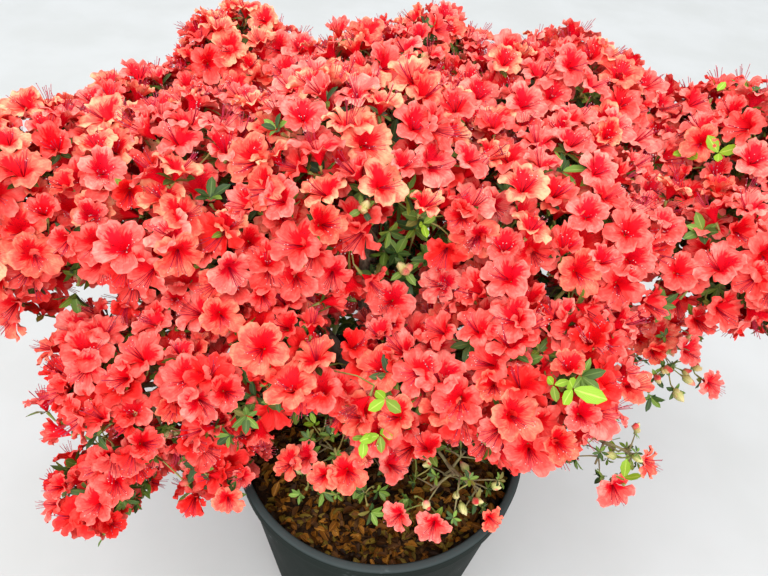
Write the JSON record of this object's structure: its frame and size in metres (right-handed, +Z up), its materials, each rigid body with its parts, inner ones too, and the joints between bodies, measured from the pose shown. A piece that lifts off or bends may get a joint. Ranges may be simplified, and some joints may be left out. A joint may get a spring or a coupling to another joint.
{
  "type": "azalea shrub",
  "caption": "Azalea shrub in full coral-red bloom in a round charcoal nursery pot, its broad crown spreading wide over the rim on several boughs",
  "frame": {"origin": "on the ground, in the middle of the pot's flat underside", "axes": "+Z up; +X along the crown's longest spread, to the right of a viewer in front; +Y from that viewer's side of the pot towards the back of the crown"},
  "size_m": [1.0713, 0.7564, 0.6952],
  "materials": {
    "pot": "moulded",
    "potting_mix": "matte",
    "bark": "rough",
    "blossom": "soft",
    "foliage": "satin"
  },
  "bodies": {
    "root": {"pot": "pot", "potting_mix": "potting_mix", "trunk": "bark", "bough_middle": "bark", "bough_left": "bark", "bough_right": "bark", "bough_front_left": "bark", "bough_front_right": "bark", "bough_front": "bark", "bough_back": "bark", "bough_back_left": "bark", "bough_back_right": "bark", "bough_back_top": "bark", "bough_far_left": "bark", "bough_far_right": "bark", "bough_far_right_back": "bark", "bough_side_left": "bark", "bough_low_left": "bark", "bough_low_left_tip": "bark", "bough_low_left_front": "bark", "bough_low_back_left": "bark", "bough_low_back": "bark", "bough_low_back_right": "bark", "bough_right_side": "bark", "bough_low_right": "bark", "bough_low_front": "bark", "bough_low_front_right": "bark", "mass_middle": "blossom", "mass_left": "blossom", "mass_right": "blossom", "mass_front_left": "blossom", "mass_front_right": "blossom", "mass_front": "blossom", "mass_back": "blossom", "mass_back_left": "blossom", "mass_back_right": "blossom", "mass_back_top": "blossom", "mass_far_left": "blossom", "mass_far_right": "blossom", "mass_far_right_back": "blossom", "mass_side_left": "blossom", "mass_low_left": "blossom", "mass_low_left_tip": "blossom", "mass_low_left_front": "blossom", "mass_low_back_left": "blossom", "mass_low_back": "blossom", "mass_low_back_right": "blossom", "mass_right_side": "foliage", "mass_low_right": "foliage", "mass_low_front": "foliage", "mass_low_front_right": "foliage", "bough_inner": "bark", "mass_inner": "blossom"}
  },
  "joints": []
}
